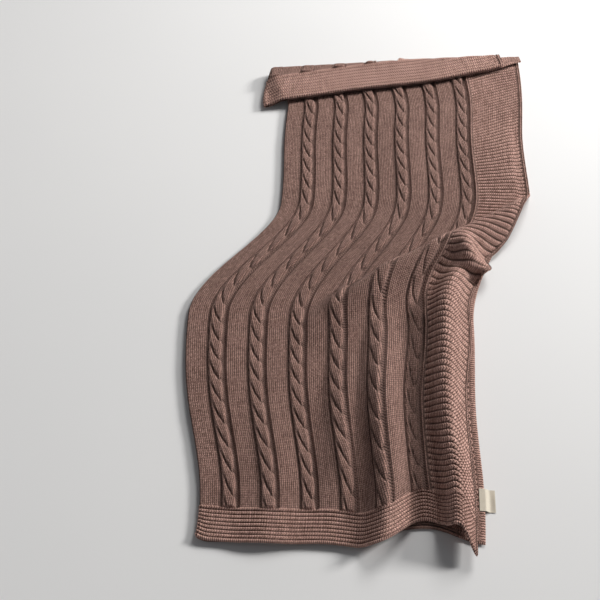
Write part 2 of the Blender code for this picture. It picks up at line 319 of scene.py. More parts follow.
def turn_place(u):
    """Distance along the cloth at which a place across it reaches the turn."""
    v = np.full_like(u, TURN_LEFT)
    for _ in range(6):
        x, y, _ = folded_lengthwise(u, v, np.zeros_like(u))
        v = v - past_turn(moved_aside(x, y), y) / math.cos(TURN_SLANT)
    return v


def frame_shift():
    """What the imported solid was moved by: its middle, less that of the same plain sheet."""
    under, roll = np.linspace(-UNDER_WIDTH, -ROLL_HALF, 30), np.linspace(-ROLL_HALF, ROLL_HALF, 9)
    across = np.concatenate([under, roll, np.linspace(0.01, TOP_WIDTH, 80)])
    along = np.concatenate([np.linspace(0.0, 0.5, 30), np.linspace(0.5, CLOTH_LENGTH, 140)])
    u, v = np.meshgrid(across, along)
    sides = [laid(u, v, np.full_like(u, w)) for w in (THICKNESS / 2, -THICKNESS / 2)]
    low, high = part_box("bedspread")
    middles = [(min(x.min() for x in axis) + max(x.max() for x in axis)) / 2 for axis in zip(*sides)]
    return [(a + b) / 2 - middle for a, b, middle in zip(low[:2], high[:2], middles)]


# ------------------------------ relief of the knit
class CableTile:
    """Relief of one crossing of the rope cable, and the place of each point on its strand.

    Each strand comes down at the left, sweeps across in front of the one above it, and ends in a
    round lobe at the right. The crease between two strands starts a little inside the left edge, runs
    down steeply, and hooks up again at its foot, where the right edge has a notch.
    """

    ACROSS, DOWN, HALF_WIDTH = 121, 176, 0.0190

    def __init__(self):
        x = np.linspace(-self.HALF_WIDTH, self.HALF_WIDTH, self.ACROSS)[None, :]
        t = (np.arange(self.DOWN) / self.DOWN)[:, None]
        across = kept_in((x / ROPE_HALF + 1.0) / 2)
        run = kept_in(across / HOOK_FROM)
        hook = np.maximum(across - HOOK_FROM, 0.0) / (1.0 - HOOK_FROM)
        crease = CREASE_FALL * (1.0 - (1.0 - run) ** CREASE_BEND) - HOOK_RISE * hook**1.9
        slope = np.gradient(crease, x[0], axis=1) * CROSSING
        self.place = np.mod(t - crease, 1.0)
        level = CROSSING / np.sqrt(1.0 + slope**2)
        below, above = self.place * level, (1.0 - self.place) * level
        at_edge = np.mod(t - CREASE_FALL + NOTCH_ABOVE, 1.0)
        notch = 0.38 * np.exp(-at_edge / 0.16) + 0.34 * np.exp(-(1.0 - at_edge) / 0.11)
        out = np.abs(x) / (ROPE_HALF * np.where(x > 0.0, 1.0 - notch, 1.0))
        dome = np.sqrt(kept_in(1.0 - out**3.2))
        front = smooth(across * 1.5 - 0.25)
        cut = self.drop(below, front) + self.drop(above, 1.0 - front)
        cut = cut * eased(across, CREASE_FROM, CREASE_FULL)
        height = dome * (STRAND_RISE - cut * CREASE_DEPTH)
        self.height = np.where(out < 1.0, height, -1.0)
        sweep = 2.0 * smooth((self.place + crease - 0.2) / 2.0) - 1.0
        self.side = x - 0.5 * ROPE_HALF * sweep
        # the creases between strands are painted as shade
        self.hollow_shade = self.hollows(np.maximum(self.height, 0.0))

    @staticmethod
    def drop(away, front):
        """Fall towards the crease: short and round on the strand in front, long on the one behind."""
        near = kept_in(1.0 - away / 0.0038) ** 2
        far = np.exp(-away / 0.0052)
        return 0.62 * near * front + 0.95 * far * (1.0 - front)

    def hollows(self, height):
        """How far each place lies below those around it, from 0 to 1, to be painted as shade."""
        around = height
        for _ in range(8):
            wide = np.pad(around, ((0, 0), (1, 1)), mode="edge")
            around = (wide[:, :-2] + wide[:, 1:-1] + wide[:, 2:]) / 3
            around = (np.roll(around, 2, 0) + around + np.roll(around, -2, 0)) / 3
        return kept_in((around - height) / 0.00030)

    def read(self, values, x, t, blend=True):
        """Values of the tile at places across and along a cable."""
        a = np.clip((x / self.HALF_WIDTH + 1.0) / 2 * (self.ACROSS - 1), 0.0, self.ACROSS - 1.001)
        b = np.mod(t, 1.0) * self.DOWN
        i, j = a.astype(int), b.astype(int) % self.DOWN
        if not blend:
            return values[j, np.round(a).astype(int)]
        return blended(values, j, (j + 1) % self.DOWN, i, b - np.floor(b), a - i)


cable_tile = CableTile()


def wander(u, v, scale):
    """A slow unevenness between -1 and 1, the same each time."""
    a = np.sin(2.1 * u / scale + 0.7 * np.sin(1.3 * v / scale + 1.0) + 0.4)
    b = np.sin(1.7 * v / scale + 0.9 * np.sin(1.9 * u / scale + 2.0) + 1.9)
    return (a + b) / 2


def stretched_rows(m, v, unstretched=SIDE_RIDGE):
    """Ridges from the hem up to v, more widely spaced in the stretched part."""
    share = kept_in((v - STRETCH_FROM) / (STRETCH_TO - STRETCH_FROM))
    sideways = eased(np.abs(m), HUNG_FROM, HUNG_TO)
    hung = HUNG_RIDGE + (HUNG_SIDE_RIDGE - HUNG_RIDGE) * sideways
    low, high = 1 / hung, 1 / unstretched
    between = (STRETCH_TO - STRETCH_FROM) * (share**3 - share**4 / 2)
    above = np.maximum(v - STRETCH_TO, 0.0)
    return low * v + (high - low) * (between + above)


def rounded_ridge(phase):
    """Profile of garter ridges, broad and round, and the narrow grooves at whole phases."""
    off = np.abs(phase - np.round(phase))
    return np.sin(math.pi * off) ** 0.5, 1.0 - smooth(off / 0.21)


class Relief:
    """Height of the knit's face over its plain level, the painted shade of its hollows, and its stitches.

    kind tells how the stitches lie, and stitch_u and stitch_v count them across and along.
    """

    def __init__(self, u, v):
        self.u, self.v = u, v
        self.m = u - FOLD_OFF_MIDDLE
        self.height, self.hollow_shade = np.zeros_like(u), np.zeros_like(u)
        self.ridges = stretched_rows(self.m, v)
        self.kind = np.full_like(u, STOCKINETTE)
        self.stitch_u, self.stitch_v = self.m / WALE, self.ridges * ROWS_PER_RIDGE
        self.panels_and_gutters()
        self.cables()
        self.side_borders()
        self.end_borders()
        self.slip_edges()
        self.chains()
        self.height += 0.00035 * wander(u, v, 0.031) + 0.0003 * wander(v, u, 0.013)
        self.hollow_shade = kept_in(self.hollow_shade)

    def lay(self, share, height, hollow_shade):
        """Lays another relief, with its painted hollow shade, over this one, by a share at each place."""
        self.height = self.height * (1.0 - share) + height * share
        self.hollow_shade = self.hollow_shade * (1.0 - share) + hollow_shade * share

    def stitch(self, where, kind, stitch_u, stitch_v):
        self.kind = np.where(where, kind, self.kind)
        self.stitch_u = np.where(where, stitch_u, self.stitch_u)
        self.stitch_v = np.where(where, stitch_v, self.stitch_v)

    def panels_and_gutters(self):
        self.a = np.mod(self.m, REPEAT) - REPEAT / 2
        beside = np.abs(self.a)
        edge = (beside - GROUP_HALF) / (REPEAT / 2 - GROUP_HALF)
        rim = 0.0004 * np.exp(-((beside - GROUP_HALF - 0.0032) / 0.0022) ** 2)
        self.height = PANEL_CROWN * smooth(edge / 0.45) + rim
        # the gutters sink, and are painted in full shade
        self.lay(smooth((GROUP_HALF + 0.0005 - beside) / 0.0024), -GUTTER_DEPTH, 1.0)
        self.stitch(beside < GROUP_HALF, PURL, self.stitch_u, self.ridges * 2.1 + self.a / 0.006)

    def cables(self):
        cable = np.floor(self.m / REPEAT)
        t = 0.04 * np.sin(cable * 2.4) + 0.03 * wander(self.u, self.v, 0.11)
        ridges = stretched_rows((cable + 0.5) * REPEAT, self.v, CABLE_RIDGE)
        t = t - ridges / CROSSING_RIDGES
        a = self.a - ROPE_SHIFT
        rope = cable_tile.read(cable_tile.height, a, t)
        # painted shade in the cable's creases
        hollow_shade = cable_tile.read(cable_tile.hollow_shade, a, t)
        share = smooth((rope + 0.0002) / 0.0012) * (np.abs(a) < cable_tile.HALF_WIDTH)
        self.lay(share, np.maximum(rope, 0.0), hollow_shade)
        side = cable_tile.read(cable_tile.side, a, t, blend=False)
        self.stitch(share > 0.5, STOCKINETTE, side / 0.0042, ridges * ROWS_PER_RIDGE)

    def side_borders(self):
        beside = np.abs(self.m)
        upper = eased(self.v, BIAS_FROM, BIAS_TO)
        lower = smooth((self.v - END_BORDER) / 0.15) * (1.0 - eased(self.v, STRETCH_FROM, BIAS_FROM))
        bias = (BIAS * upper / SIDE_RIDGE - HUNG_BIAS * lower / HUNG_SIDE_RIDGE) * (beside - BODY_HALF)
        uneven = 0.09 * wander(self.u, self.v, 0.05) + 0.05 * wander(self.u, self.v, 0.019)
        ridge = self.ridges - bias + uneven
        profile, groove = rounded_ridge(ridge)
        single = np.exp(-((beside - BODY_HALF + 0.0030) / 0.0022) ** 2)
        # a single raised wale, with the painted shade cleared from it
        self.height += 0.0028 * single
        self.hollow_shade *= 1.0 - single
        share = smooth((beside - BODY_HALF) / 0.003)
        # the grooves between ridges get painted shade
        self.lay(share, 0.0012 + SIDE_DEPTH * (profile - 1.0), groove)
        self.stitch(beside > BODY_HALF, GARTER, beside / GARTER_WALE, ridge)

    def end_borders(self):
        hem = (self.v, END_BORDER, END_RIDGE, 1.0)
        top = (CLOTH_LENGTH - self.v, TOP_BORDER, TOP_RIDGE, TOP_SHADE)
        for near, border, ridge, shade in (hem, top):
            phase = near / ridge + 0.07 * wander(self.u, self.v, 0.05)
            profile, groove = rounded_ridge(phase)
            first = 0.0010 * np.exp(-((near - border + 0.0045) / 0.0040) ** 2)
            share = smooth((border - near) / 0.0035)
            # the grooves between ridges get painted shade, lighter at the top end
            self.lay(share, 0.0008 + first + END_DEPTH * (profile - 1.0) * shade, groove * shade)
            self.stitch(near < border, GARTER, (self.u + 0.2) / GARTER_WALE, phase)

    def slip_edges(self):
        from_edge = CLOTH_WIDTH / 2 - np.abs(self.m)
        rise = np.sin(kept_in(from_edge / SLIP_EDGE) * math.pi * 2.0 + 0.4) ** 2
        # the slip-stitch strip gets a little painted shade
        self.lay(smooth((SLIP_EDGE - from_edge) / 0.0015), 0.0002 + 0.0016 * rise, 0.1)
        # a groove beside the strip, with painted shade
        groove = np.exp(-((from_edge - SLIP_EDGE) / 0.0018) ** 2)
        self.height -= 0.0008 * groove
        self.hollow_shade = np.maximum(self.hollow_shade, 0.35 * groove)
        wales = from_edge / (SLIP_EDGE / 2) + 0.5
        self.stitch(from_edge < SLIP_EDGE, STOCKINETTE, wales, self.v / SLIP_ROW)

    def chains(self):
        for near, wide, pitch in ((self.v, CHAIN, WALE), (CLOTH_LENGTH - self.v, TOP_CHAIN, 1.4 * WALE)):
            share = smooth((wide - near) / 0.0012)
            link = np.abs(np.sin(math.pi * (self.u / pitch + 0.35 * near / wide)))
            over = np.sin(np.clip(near / wide, 0.03, 1.0) * math.pi) ** 0.6
            # painted shade between the chain's links
            self.lay(share, 0.0028 * link**0.7 * over - 0.0004, 1.0 - smooth(link / 0.6))
            self.stitch(near < wide, CHAINED, self.u / pitch, near / wide)


def edge_rounding(u, v):
    """1 inside the cloth, falling to 0 round its free edges."""
    m = np.abs(u - FOLD_OFF_MIDDLE)
    inside = np.minimum(CLOTH_WIDTH / 2 - m, np.minimum(v, CLOTH_LENGTH - v))
    share = kept_in(inside / EDGE_ROUND)
    return np.sqrt(1.0 - (1.0 - share) ** 2)


def pressed(height, u, v):
    """The relief, less where the cloth lies on the floor, under the flap, or inside or on it."""
    x, y, _ = folded_lengthwise(u, v, np.zeros_like(u))
    x = moved_aside(x, y)
    past = past_turn(x, y)
    turned = smooth(past / (0.6 * TURN_ARC))
    depth = (CLOTH_LENGTH - TURN_LEFT) * math.cos(TURN_SLANT) - x * math.sin(TURN_SLANT)
    ahead = -past - (depth - TURN_ARC)
    covered = 1.0 - smooth((ahead - PRESS_FROM + PRESS_RUN * 0.5) / PRESS_RUN)
    on_floor = np.minimum(height, 0.0) * 0.6 + 0.001
    on_top = height * (1.0 - 0.45 * covered)
    body = smooth((CLOTH_LENGTH - TOP_BORDER - v) / 0.01)
    below = on_floor * (1.0 - turned) + height * (1.0 - 0.80 * body) * turned
    above = on_top * (1.0 - turned) + height * 0.12 * turned
    upper = smooth(u / (2.0 * ROLL_HALF) + 0.5)
    return below * (1.0 - upper) + above * upper


def side_w(u, v, side):
    """w of the face side or of the wrong side, whose relief is slight, and its stitches."""
    relief = Relief(u, v)
    if side == "face":
        level = FACE + pressed(relief.height, u, v)
    else:
        level = BACK + 0.0014 * relief.hollow_shade
        relief.kind = np.where(relief.kind == STOCKINETTE, PURL, relief.kind)
        # the wrong side gets painted shade a little all over, and more in its hollows
        relief.hollow_shade = 0.15 + 0.7 * relief.hollow_shade
    edge = edge_rounding(u, v)
    return level * edge + (FACE + BACK) / 2 * (1.0 - edge), relief


SHIFT = frame_shift()


def placed(u, v, w):
    """Points of the cloth in the frame's coordinates, with the hem's corner at the fold rounded off."""
    away = 1.0 - kept_in(np.abs(u) / CORNER_WIDE)
    corner = (1.0 - np.sqrt(1.0 - away**2)) * (1.0 - smooth(v / 0.10))
    x, y, z = laid(u, v + CORNER_RISE * corner, w)
    return np.stack([x + SHIFT[0], y + SHIFT[1], z], axis=-1)


# ------------------------------ making the sheets
def grid_normals(points):
    """Unit normals of a grid of points, from its neighbours on both sides."""
    down, across = np.gradient(points, axis=0), np.gradient(points, axis=1)
    normals = np.cross(across, down)
    return normals / np.maximum(np.linalg.norm(normals, axis=-1, keepdims=True), 1e-12)


def widened(places):
    """A grid of places with one more row and column on each side, carried on at the same spacing."""
    for _ in range(2):
        before, after = 2 * places[:1] - places[1:2], 2 * places[-1:] - places[-2:-1]
        places = np.concatenate([before, places, after], axis=0).T
    return places


def side_of(u, v, side):
    """Points, normals and stitch facts of one side of a sheet."""
    wide_u, wide_v = widened(u), widened(v)
    w, relief = side_w(wide_u, wide_v, side)
    points = placed(wide_u, wide_v, w)
    normals = grid_normals(points) * (1.0 if side == "face" else -1.0)
    facts = [getattr(relief, title)[1:-1, 1:-1] for title in FACTS]
    return points[1:-1, 1:-1], normals[1:-1, 1:-1], facts


def thinned(count, most):
    """Indices of about every few rows or columns, with the first and the last."""
    return np.unique(np.round(np.linspace(0, count - 1, min(count, most + 1))).astype(int))


def coarse_faces(rows, columns, keep_rows, keep_columns, fine_rim, inner, flip):
    """Faces of the thinned side. Cells at the rim take in all of the rim's points."""
    def at(r, c):
        rim = r in (0, rows - 1) or c in (0, columns - 1)
        return fine_rim[(r, c)] if rim else inner[(r, c)]

    faces = []
    for r0, r1 in zip(keep_rows, keep_rows[1:]):
        for c0, c1 in zip(keep_columns, keep_columns[1:]):
            low = range(c0, c1) if r0 == 0 else (c0,)
            right = range(r0, r1) if c1 == columns - 1 else (r0,)
            high = range(c1, c0, -1) if r1 == rows - 1 else (c1,)
            left = range(r1, r0, -1) if c0 == 0 else (r1,)
            ring = [at(r0, c) for c in low] + [at(r, c1) for r in right]
            ring += [at(r1, c) for c in high] + [at(r, c0) for r in left]
            faces.append(ring[::-1] if flip else ring)
    return faces


def rim_places(rows, columns):
    """Places round the rim of a grid, in order."""
    places = [(0, c) for c in range(columns)]
    places += [(r, columns - 1) for r in range(1, rows)]
    places += [(rows - 1, c) for c in range(columns - 2, -1, -1)]
    places += [(r, 0) for r in range(rows - 2, 0, -1)]
    return places


def grid_quads(rows, columns):
    """Indices of a grid's points, and its quads."""
    index = np.arange(rows * columns).reshape(rows, columns)
    ring = [index[:-1, :-1], index[:-1, 1:], index[1:, 1:], index[1:, :-1]]
    return index, np.stack(ring, axis=-1).reshape(-1, 4)


def build_mesh(name, points, normals, quads, rings, facts, chart):
    """A mesh from its points, its quads as an array and its other faces as lists."""
    mesh = bpy.data.meshes.new(name)
    sizes = np.concatenate([np.full(len(quads), 4), [len(ring) for ring in rings]]).astype(np.int32)
    ring_corners = np.array([p for ring in rings for p in ring])
    corners = np.concatenate([quads.ravel(), ring_corners]).astype(np.int32)
    mesh.vertices.add(len(points))
    mesh.vertices.foreach_set("co", points.astype(np.float32).ravel())
    mesh.loops.add(len(corners))
    mesh.loops.foreach_set("vertex_index", corners)
    mesh.polygons.add(len(sizes))
    mesh.polygons.foreach_set("loop_start", np.concatenate([[0], np.cumsum(sizes)[:-1]]).astype(np.int32))
    mesh.update(calc_edges=True)
    mesh.validate()
    mesh.shade_smooth()
    mesh.normals_split_custom_set_from_vertices(normals.astype(np.float32))
    for title, values in facts.items():
        made = mesh.attributes.new(title, "FLOAT", "POINT")
        made.data.foreach_set("value", values.astype(np.float32))
    layer = mesh.uv_layers.new(name="OFBake")
    layer.uv.foreach_set("vector", chart[corners].astype(np.float32).ravel())
    return mesh


def joined(fine, thin, picked, width=3):
    """Values at all points of the fine side, and then at the picked ones of the thinned side."""
    return np.concatenate([fine.reshape(-1, width), thin[tuple(picked.T)].reshape(-1, width)])


def knit_sheet(name, u, v, material, fine="face", thin=(7, 9)):
    """One closed sheet of the cloth over a grid of places, fine on one side and thinned on the other."""
    rows, columns = u.shape
    other = "back" if fine == "face" else "face"
    top, top_normals, top_facts = side_of(u, v, fine)
    low, low_normals, low_facts = side_of(u, v, other)
    index, quads = grid_quads(rows, columns)
    if fine == "back":
        quads = quads[:, ::-1]
    rim = rim_places(rows, columns)
    fine_rim = {place: rows * columns + i for i, place in enumerate(rim)}
    keep_rows = thinned(rows, max(2, rows // thin[0]))
    keep_columns = thinned(columns, max(2, columns // thin[1]))
    inside = [(r, c) for r in keep_rows[1:-1] for c in keep_columns[1:-1]]
    inner = {place: rows * columns + len(rim) + i for i, place in enumerate(inside)}
    picked = np.array(rim + inside)
    rings = coarse_faces(rows, columns, keep_rows, keep_columns, fine_rim, inner, flip=fine == "face")
    for a, b in zip(rim, rim[1:] + rim[:1]):
        wall = [fine_rim[a], fine_rim[b], index[b], index[a]]
        rings.append(wall if fine == "face" else wall[::-1])
    points = joined(top, low, picked)
    normals = joined(top_normals, low_normals, picked)
    facts = {title: joined(a, b, picked, 1).ravel() for title, a, b in zip(FACTS, top_facts, low_facts)}
    square = np.stack(np.meshgrid(np.linspace(0, 1, columns), np.linspace(0, 1, rows)), axis=-1)
    chart = joined(square * (1.0, 0.90), square * (1.0, 0.08) + (0.0, 0.92), picked, 2)
    mesh = build_mesh(name, points, normals, quads, rings, facts, chart)
    piece = bpy.data.objects.new(name, mesh)
    bpy.context.scene.collection.objects.link(piece)
    mesh.materials.append(material)
    return piece


def steps(start, end, size):
    """Even steps of about a size."""
    return np.linspace(start, end, max(2, int(round((end - start) / size)) + 1))


def knit_columns(start, end, fine, coarse):
    """Places across the body: close together over cables and gutters, wider over plain panels."""
    breaks = [start, end]
    for k in range(-CABLES, CABLES):
        middle = FOLD_OFF_MIDDLE + (k + 0.5) * REPEAT
        breaks += [middle - GROUP_HALF - 0.004, middle + GROUP_HALF + 0.004]
    breaks = sorted(b for b in breaks if start <= b <= end)
    places = []
    for a, b in zip(breaks, breaks[1:]):
        if b - a < 1e-6:
            continue
        nearest = np.mod((a + b) / 2 - FOLD_OFF_MIDDLE, REPEAT) - REPEAT / 2
        places.append(steps(a, b, fine if abs(nearest) < GROUP_HALF or b - a < 0.010 else coarse)[:-1])
    return np.concatenate(places + [[end]])


# ------------------------------ materials
class Nodes:
    """Short ways to write a node tree."""

    def __init__(self, name):
        self.material = bpy.data.materials.new(name)
        self.material.use_nodes = True
        self.tree = self.material.node_tree
        self.shader = self.tree.nodes["Principled BSDF"]

    def new(self, kind, **settings):
        node = self.tree.nodes.new(kind)
        for key, value in settings.items():
            setattr(node, key, value)
        return node

    def plug(self, socket, value):
        if isinstance(value, bpy.types.NodeSocket):
            self.tree.links.new(value, socket)
        elif value is not None:
            socket.default_value = value

    def math(self, operation, a, b=None, c=None, clamp=False):
        node = self.new("ShaderNodeMath", operation=operation, use_clamp=clamp)
        for socket, value in zip(node.inputs, (a, b, c)):
            self.plug(socket, value)
        return node.outputs[0]

    def plus(self, a, b):
        return self.math("ADD", a, b)

    def less(self, a, b):
        return self.math("SUBTRACT", a, b)

    def times(self, a, b):
        return self.math("MULTIPLY", a, b)

    def same(self, kind, other):
        return self.math("COMPARE", kind, other, 0.5)

    def fact(self, title):
        return self.new("ShaderNodeAttribute", attribute_name=title).outputs["Fac"]

    def mix(self, factor, a, b, kind="RGBA"):
        node = self.new("ShaderNodeMix", data_type=kind)
        first = {"RGBA": 6, "FLOAT": 2}[kind]
        self.plug(node.inputs[0], factor)
        self.plug(node.inputs[first], a)
        self.plug(node.inputs[first + 1], b)
        return node.outputs[{"RGBA": 2, "FLOAT": 0}[kind]]

    def noise(self, vector, scale, detail=2.0, roughness=0.5):
        node = self.new("ShaderNodeTexNoise")
        self.plug(node.inputs["Vector"], vector)
        for title, number in (("Scale", scale), ("Detail", detail), ("Roughness", roughness)):
            node.inputs[title].default_value = number
        return node.outputs["Fac"]

    def ramp(self, value, low, high):
        node = self.new("ShaderNodeMapRange", clamp=True)
        for socket, number in zip(node.inputs, (value, low, high, 0.0, 1.0)):
            self.plug(socket, number)
        return node.outputs[0]

    def coords(self):
        return self.new("ShaderNodeTexCoord").outputs["Object"]

    def vector(self, x, y):
        node = self.new("ShaderNodeCombineXYZ")
        self.plug(node.inputs[0], x)
        self.plug(node.inputs[1], y)
        return node.outputs[0]

    def bump(self, height, strength, distance):
        node = self.new("ShaderNodeBump")
        node.inputs["Strength"].default_value = strength
        node.inputs["Distance"].default_value = distance
        self.plug(node.inputs["Height"], height)
        self.plug(self.shader.inputs["Normal"], node.outputs[0])


# pale yarn, which is also the painted highlight on the tops of stitches
YARN_PALE_AND_HIGHLIGHT = (0.790, 0.485, 0.405, 1.0)
YARN_MAIN = (0.212, 0.107, 0.081, 1.0)
# colour of the painted shade in the gaps and hollows of the knit
YARN_SHADE = (0.010, 0.004, 0.003, 1.0)


def hill(n, value):
    """A round hill from 0 to 1 and back as the value goes from one whole number to the next."""
    part = n.math("FRACT", value)
    off = n.times(part, n.less(1.0, part))
    return n.times(off, 4.0)


def from_middle(n, value):
    """0 midway between whole numbers, and 1 at each of them."""
    part = n.times(n.math("FRACT", value), 2.0)
    return n.math("ABSOLUTE", n.less(part, 1.0))


def pinched(n, value, depth):
    """1, with a narrow dip of a given depth where the value is 0."""
    near = n.math("POWER", n.less(1.0, value), 5.0)
    return n.less(1.0, n.times(near, depth))


def legs(n, su, sv):
    """Counts up along the two legs of a plain stitch, which lean out from the middle of the wale."""
    return n.less(sv, n.times(from_middle(n, su), 0.7))


def plain_stitch(n, su, sv):
    """Plain V stitches, with a gap between wales."""
    out = from_middle(n, su)
    leg = n.math("POWER", hill(n, legs(n, su, sv)), 0.5)
    leg = n.plus(n.times(leg, 0.75), 0.25)
    wale = n.less(1.0, n.math("POWER", out, 3.5))
    return n.times(n.times(leg, wale), pinched(n, out, 0.35))


def garter_stitch(n, su, sv):
    """Strokes that lean one way in the lower half of a ridge, and the other way in its upper half."""
    bend = from_middle(n, sv)
    stroke = n.math("POWER", hill(n, n.plus(su, n.times(bend, 0.8))), 0.6)
    return n.times(stroke, pinched(n, bend, 0.15))


def purl_stitch(n, su, sv):
    """Bars across the gutters."""
    lean = n.times(from_middle(n, su), 0.2)
    return n.math("POWER", hill(n, n.plus(sv, lean)), 0.6)


def stitch_height(n, kind, su, sv):
    """Height of the stitches of each kind, from 0 in the gaps between them to 1."""
    made = plain_stitch(n, su, sv)
    made = n.mix(n.same(kind, GARTER), made, garter_stitch(n, su, sv), kind="FLOAT")
    made = n.mix(n.same(kind, PURL), made, purl_stitch(n, su, sv), kind="FLOAT")
    chained = n.math("POWER", hill(n, su), 0.5)
    return n.mix(n.same(kind, CHAINED), made, chained, kind="FLOAT")


def yarn_tone_and_highlight(n, coords, light, fibre, su, sv):
    """How pale the yarn is, with a painted highlight on top of the stitches, and uneven in several ways.
    """
    loop = n.vector(n.math("FLOOR", n.times(su, 2.0)), n.math("FLOOR", legs(n, su, sv)))
    chance = n.new("ShaderNodeTexWhiteNoise", noise_dimensions="2D")
    n.plug(chance.inputs["Vector"], loop)
    streak = n.vector(n.times(su, 1.1), n.times(sv, 0.06))
    uneven = (
        (fibre, 0.4, 0.30),
        (n.noise(coords, 260.0, 2.0, 0.6), 0.5, 1.5),  # fleck of the yarn
        (n.noise(streak, 1.0, 2.0, 0.6), 0.5, 0.7),  # streaks along the wales
        (chance.outputs["Value"], 0.5, 0.40),  # each stitch has caught the yarn differently
        (n.noise(coords, 9.0, 2.0, 0.5), 0.5, 0.30),  # the dye, over larger patches
    )
    # painted highlight: paler on top of the stitches
    tone = n.times(n.math("POWER", light, 1.5), 0.62)
    for source, mean, amount in uneven:
        tone = n.plus(tone, n.times(n.less(source, mean), amount))
    return n.math("ADD", tone, 0.0, clamp=True)


def knit_material():
    """Mocha cotton yarn in its stitches, with painted shade in the gaps between them and in the knit's
    hollows, and a painted highlight on their tops.
    """
    n = Nodes("mocha_knit")
    hollow_shade, kind = n.fact("hollow_shade"), n.fact("kind")
    su, sv = n.fact("stitch_u"), n.fact("stitch_v")
    coords = n.coords()
    fibre = n.noise(coords, 900.0, 3.0, 0.7)
    stitches = stitch_height(n, kind, su, sv)
    light = n.ramp(stitches, 0.34, 0.97)
    colour = n.mix(yarn_tone_and_highlight(n, coords, light, fibre, su, sv), YARN_MAIN, YARN_PALE_AND_HIGHLIGHT)
    # painted shade in the gaps between stitches, shallower in garter
    depth = n.mix(n.same(kind, GARTER), 0.96, 0.60, kind="FLOAT")
    gap = n.times(n.less(1.0, light), depth)
    # purl bars take less of the painted shade in the hollows
    bars = n.times(n.same(kind, PURL), n.times(light, 0.40))
    recess_shade = n.times(hollow_shade, n.less(0.97, bars))
    # both darken the yarn towards the painted shade colour
    colour = n.mix(n.math("MAXIMUM", gap, recess_shade, clamp=True), colour, YARN_SHADE)
    n.plug(n.shader.inputs["Base Color"], colour)
    n.plug(n.shader.inputs["Roughness"], n.plus(0.78, n.times(fibre, 0.18)))
    for title, number in (("Specular IOR Level", 0.25), ("Sheen Weight", 0.10), ("Sheen Roughness", 0.45)):
        n.shader.inputs[title].default_value = number
    n.shader.inputs["Sheen Tint"].default_value = (0.90, 0.72, 0.62, 1.0)
    height = n.plus(n.times(stitches, 0.85), n.times(fibre, 0.18))
    n.bump(height, 1.0, 0.0016)
    return n.material


def floor_material():
    n = Nodes("pale_floor")
    cloud = n.noise(n.coords(), 1.2, 3.0, 0.5)
    colour = n.mix(cloud, (0.77, 0.77, 0.77, 1.0), (0.82, 0.815, 0.81, 1.0))
    n.plug(n.shader.inputs["Base Color"], colour)
    n.shader.inputs["Roughness"].default_value = 0.6
    return n.material


def label_material():
    """Cream ribbon in a plain weave."""
    n = Nodes("cream_ribbon")
    coords = n.coords()
    split = n.new("ShaderNodeSeparateXYZ")
    n.plug(split.inputs[0], coords)
    warp = hill(n, n.times(split.outputs[0], 1800.0))
    weft = hill(n, n.times(split.outputs[1], 1300.0))
    weave = n.times(n.plus(warp, weft), 0.5)
    cloud = n.noise(coords, 60.0, 3.0, 0.6)
    tone = n.plus(n.times(weave, 0.5), n.times(cloud, 0.5))
    colour = n.mix(tone, (0.47, 0.41, 0.32, 1.0), (0.72, 0.66, 0.55, 1.0))
    n.plug(n.shader.inputs["Base Color"], colour)
    n.plug(n.shader.inputs["Roughness"], n.plus(0.62, n.times(weave, 0.2)))
    n.bump(weave, 0.5, 0.0002)
    return n.material


# ------------------------------ the pieces of the cloth
FINE, COARSE, FINE_ROW, RIDGE_ROW = 0.0014, 0.0031, 0.0020, 0.00118
UNDER_ROW, HIDDEN_ROW = 0.001682, 0.00403  # of the under layer's border, and of its hidden part
HEM_TOP = END_BORDER - 0.0004
ROLL_FROM = -0.030  # where the top layer's sheets start, under the lengthwise fold
UNDER_SEAM = -UNDER_WIDTH + 0.060  # between the under layer and its side border
FLAP_SEAM = 0.020  # between the two layers of the flap
SEAMS = [FOLD_OFF_MIDDLE + 2 * REPEAT, FOLD_OFF_MIDDLE + 4 * REPEAT, FOLD_OFF_MIDDLE + BODY_HALF]
UNDER_TURN = 0.008  # how far short of the turn the flat sheets end


def cover_end(u):
    """Where a strip of the top layer ends, hidden under the flap."""
    return float(turn_place(np.array([u]))[0]) - UNDER_TURN


def over_roll(count, rest):
    """Places from under the lengthwise fold, closely round it, and on over the top layer."""
    return np.concatenate([[ROLL_FROM, -0.018], np.linspace(-ROLL_HALF, ROLL_HALF, count), rest])


def up_to_turn(across, size):
    """A grid from the hem to just short of the slanting turn, in rows of about a size."""
    end = turn_place(across) - UNDER_TURN
    v = np.array([end * share for share in steps(0.0, 1.0, size / float(end.max()))])
    return np.broadcast_to(across, v.shape).copy(), v


def turned_rows(u, start, end, bend_rows, size):
    """Rows from just before the turn, evenly through it, and on to the cast-off edge."""
    first = turn_place(u)
    last = first + TURN_ARC / math.cos(TURN_SLANT)
    rows = [start + (first - start) * share for share in (0.0, 0.5)]
    rows += [first + (last - first) * share for share in np.linspace(0.0, 1.0, bend_rows + 1)]
    count = int(round((end - float(last.min())) / size))
    rows += [last + (end - last) * share for share in np.linspace(0.0, 1.0, count + 1)[1:]]
    v = np.array(rows)
    return np.broadcast_to(u, v.shape).copy(), v


